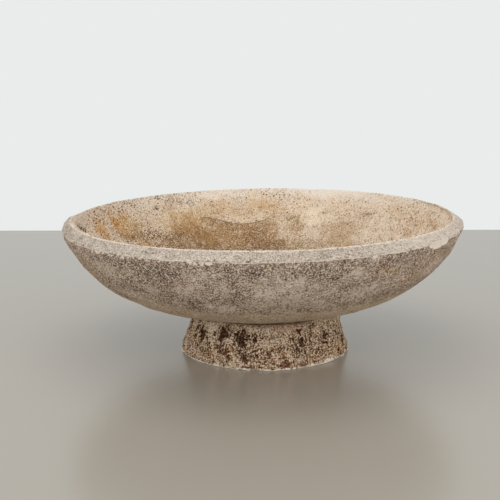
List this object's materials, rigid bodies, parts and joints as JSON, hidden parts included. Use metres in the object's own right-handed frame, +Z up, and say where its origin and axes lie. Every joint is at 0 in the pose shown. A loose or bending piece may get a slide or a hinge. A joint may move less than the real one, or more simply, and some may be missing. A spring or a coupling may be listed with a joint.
{
  "type": "bowl planter",
  "caption": "Wide, shallow round bowl planter in weathered cast concrete, bedded in mortar on a low tapered foot, with a drain hole.",
  "frame": {"origin": "on the floor, in the middle of the foot's underside", "axes": "+Z up along the axis of the bowl, the drain hole and the foot; -Y towards the side that the picture shows"},
  "size_m": [0.9986, 0.9986, 0.3437],
  "materials": {
    "bowl_concrete": "weathered, rough, mottled",
    "foot_concrete": "weathered, rough, with dark growth",
    "mortar": "rough",
    "steel_rod": "rusted"
  },
  "bodies": {
    "foot": {"foot": "foot_concrete", "foot_hoop": "steel_rod", "mortar_bed": "mortar"},
    "bowl": {"bowl": "bowl_concrete", "rim_hoop": "steel_rod"}
  },
  "joints": [
    {"name": "bowl_lift", "type": "slide", "parent": "foot", "child": "bowl", "axis": [0, 0, 1], "range_m": [0, 0.15]}
  ]
}
